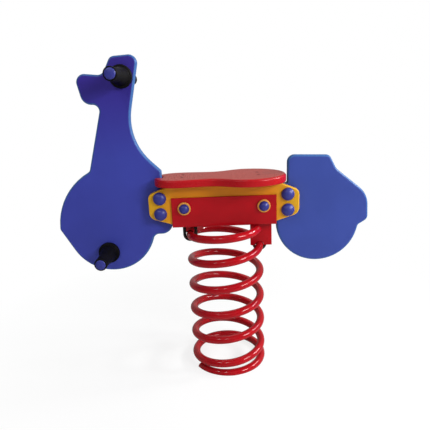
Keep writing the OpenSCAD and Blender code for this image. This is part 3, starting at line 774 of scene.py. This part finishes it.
def make_cheek_washers():
    """Dished plastic washers with a round rim, which the caps clip into."""
    face = standing_face("cheek_washers")
    seat_h = standing_face("cheek_caps") - face
    rim_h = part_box("cheek_washers")[1].y - face
    radius = disc_radius("cheek_washers")
    pocket = disc_radius("cheek_caps") + CAP_CLEARANCE
    profile = rounded_profile([
        (BOLT_HOLE_R, 0, 0),
        (radius, 0, WASHER_FOOT_ROUND),
        ((radius + pocket) / 2 + WASHER_RIM_ROUND, rim_h, WASHER_RIM_ROUND),
        (pocket, rim_h, WASHER_POCKET_ROUND),
        (pocket, seat_h, 0),
        (BOLT_HOLE_R, seat_h, 0),
    ])
    return make_turned("cheek_washer_rings", "cheek_washers", "yellow_ring", "yellow_moulding", profile,
                       centres("cheek_washers"), face, closed=True)


def make_grip(name, cad_node):
    """A rubber grip: a round-edged flange, a tapering body and a socket for its cap."""
    low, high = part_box(cad_node)
    side = -1 if high.y < 0 else 1
    face = standing_face(cad_node)
    length = high.y - low.y
    place = ((low.x + high.x) / 2, (low.z + high.z) / 2)
    flange_r = (high.x - low.x) / 2
    root_r = GRIP_ROOT_D / 2
    tip_r = GRIP_TIP_D / 2
    socket_floor = length - SOCKET_DEPTH
    profile = rounded_profile([
        (ROD_HOLE_R, 0, 0),
        (flange_r, 0, FLANGE_FACE_ROUND),
        (flange_r, FLANGE_T, FLANGE_RIM_ROUND),
        (root_r, FLANGE_T, FLANGE_ROOT_ROUND),
        (tip_r, FLANGE_T + GRIP_TAPER_L, TAPER_END_ROUND),
        (tip_r, length, GRIP_TIP_ROUND),
        (SOCKET_R, length, SOCKET_ROUND),
        (SOCKET_R, socket_floor, 0),
        (ROD_HOLE_R, socket_floor, 0),
    ])
    return make_turned(name, cad_node, "rubber", "black_rubber", profile, [place], face, [side], closed=True)


def make_tip_caps(name, cad_node, grip_node):
    """Plastic plugs with a low dome, in the tips of both grips."""
    low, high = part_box(cad_node)
    tip = max(abs(corner.y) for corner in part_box(grip_node))
    place = ((low.x + high.x) / 2, (low.z + high.z) / 2)
    radius = (high.x - low.x) / 2
    rise = high.y - tip
    plug_r = SOCKET_R - PLUG_CLEARANCE
    plug_l = tip - standing_face(cad_node)
    plug = [(0, -plug_l), (plug_r, -plug_l), (plug_r, 0), (radius - PLUG_LIP / 2, 0)]
    crown = [(radius * math.cos(a), PLUG_LIP + (rise - PLUG_LIP) * math.sin(a))
             for a in quarter_turn(PLUG_STEPS)[:-1]]
    return make_turned(name, cad_node, "blue_cap", "blue_moulding", plug + crown + [(0, rise)], [place], tip)


def light_rays(tree):
    """Two Light Path switches: for rays from the camera, and for rays from mirrors and through glass."""
    path = node(tree, "ShaderNodeLightPath").outputs
    mirrored = math_node(tree, "MAXIMUM", path["Is Glossy Ray"], path["Is Transmission Ray"])
    return path["Is Camera Ray"], mirrored


def make_floor():
    """A floor that takes the shadow near the object and is as white as the background further out."""
    bm = bmesh.new()
    bmesh.ops.create_grid(bm, x_segments=1, y_segments=1, size=FLOOR_SIZE / 2)
    mesh = bpy.data.meshes.new("floor")
    bm.to_mesh(mesh)
    bm.free()
    floor = bpy.data.objects.new("floor", mesh)
    scene.collection.objects.link(floor)
    look, tree, place, _ = new_look("floor")
    reach = node(tree, "ShaderNodeVectorMath", {0: place}, operation="LENGTH").outputs["Value"]
    glow = map_range(tree, reach, SHADOW_REACH, (FLOOR_GLOW, 1.0))
    camera_ray, mirrored = light_rays(tree)
    seen = math_node(tree, "MAXIMUM", camera_ray, mirrored)
    lit = node(tree, "ShaderNodeBsdfDiffuse", {"Color": rgba([FLOOR_ALBEDO] * 3)})
    strength = mix_value(tree, camera_ray, FLOOR_MIRRORED, 1.0)
    white = node(tree, "ShaderNodeEmission", {"Color": WHITE, "Strength": strength})
    mixed = node(tree, "ShaderNodeMixShader", {0: math_node(tree, "MULTIPLY", seen, glow),
                                               1: lit.outputs[0], 2: white.outputs[0]})
    node(tree, "ShaderNodeOutputMaterial", {"Surface": mixed.outputs[0]})
    mesh.materials.append(look)


def make_world():
    """White where it is seen, dimmer in mirrors, and an even light on the object."""
    world = bpy.data.worlds.new("studio")
    scene.world = world
    world.use_nodes = True
    tree = world.node_tree
    tree.nodes.clear()
    direction = node(tree, "ShaderNodeTexCoord").outputs["Generated"]
    towards = node(tree, "ShaderNodeSeparateXYZ", {0: direction}).outputs["Y"]
    camera_ray, mirrored = light_rays(tree)
    shown = map_range(tree, towards, WORLD_MIRRORED_Y, WORLD_MIRRORED)
    strength = mix_value(tree, mirrored, WORLD_LIGHT, shown)
    strength = mix_value(tree, camera_ray, strength, 1.0)
    background = node(tree, "ShaderNodeBackground", {"Color": WHITE, "Strength": strength})
    node(tree, "ShaderNodeOutputWorld", {"Surface": background.outputs[0]})


def make_lamp(name, place, size, power):
    """A square soft box that points at the object."""
    data = bpy.data.lights.new(name, "AREA")
    data.size = size
    data.energy = power
    lamp = bpy.data.objects.new(name, data)
    lamp.location = place
    lamp.rotation_mode = "QUATERNION"
    lamp.rotation_quaternion = (LIGHT_TARGET - Vector(place)).to_track_quat("-Z", "Y")
    scene.collection.objects.link(lamp)


def make_camera():
    """A camera at the photograph's place, turned by its yaw, its pitch downwards and its roll."""
    forward = Vector((math.sin(YAW) * math.cos(PITCH), math.cos(YAW) * math.cos(PITCH), -math.sin(PITCH)))
    level = Vector((math.cos(YAW), -math.sin(YAW), 0))
    down = forward.cross(level)
    right = math.cos(ROLL) * level + math.sin(ROLL) * down
    up = math.sin(ROLL) * level - math.cos(ROLL) * down
    data = bpy.data.cameras.new("camera")
    data.sensor_width = SENSOR_MM
    data.lens = FOCAL_PX / IMAGE_PX * SENSOR_MM
    camera = bpy.data.objects.new("camera", data)
    camera.matrix_world = Matrix((right, up, -forward)).transposed().to_4x4()
    camera.location = CAMERA_PLACE
    scene.collection.objects.link(camera)
    scene.camera = camera


# Pieces
make_spring()
round_sheet("front_sheet", "front_panel", "Y", "front_blue", "blue_sheet", PANEL_ROUND)
round_sheet("rear_sheet", "rear_panel", "Y", "rear_blue", "blue_sheet", PANEL_ROUND)
round_sheet("left_rail_sheet", "rail_left", "Y", "yellow", "yellow_sheet", RAIL_ROUND)
round_sheet("right_rail_sheet", "rail_right", "Y", "yellow", "yellow_sheet", RAIL_ROUND)
round_sheet("seat_sheet", "seat", "Z", "seat_red", "red_sheet", SEAT_ROUND, SEAT_UNDER_ROUND)
make_steel("head_channel", "spring_head")
make_steel("saddle_block", "front_saddle")
make_steel("drop_plate", "drop_bracket")
make_u_bolt("front_u_rod", "front_u_bolt")
make_u_bolt("rear_u_rod", "rear_u_bolt")
make_domes("panel_bolt_domes", "panel_domes")
make_domes("cheek_bolt_caps", "cheek_caps")
make_cheek_washers()
for grip in ("handle_grip_left", "handle_grip_right", "foot_peg_left", "foot_peg_right"):
    make_grip(grip + "_rubber", grip)
make_tip_caps("handle_plugs", "handle_tip_caps", "handle_grip_left")
make_tip_caps("foot_plugs", "foot_tip_caps", "foot_peg_left")

# The screws and the steel inside keep their solids
for name in ("u_bolt_washers", "u_bolt_nuts", "cheek_sleeves", "cheek_bolts", "cheek_nuts", "panel_bolts",
             "panel_washers", "panel_nuts", "seat_screws", "handle_rod", "handle_washers", "handle_nuts",
             "foot_rod", "foot_washers", "foot_nuts"):
    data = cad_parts[name].data
    data.materials.clear()
    data.materials.append(LOOKS["screw_black" if name == "seat_screws" else "zinc"])

# Studio
make_floor()
make_world()
for name, place, size, power in LAMPS:
    make_lamp(name, place, size, power)
make_camera()
scene.view_settings.view_transform = "Standard"
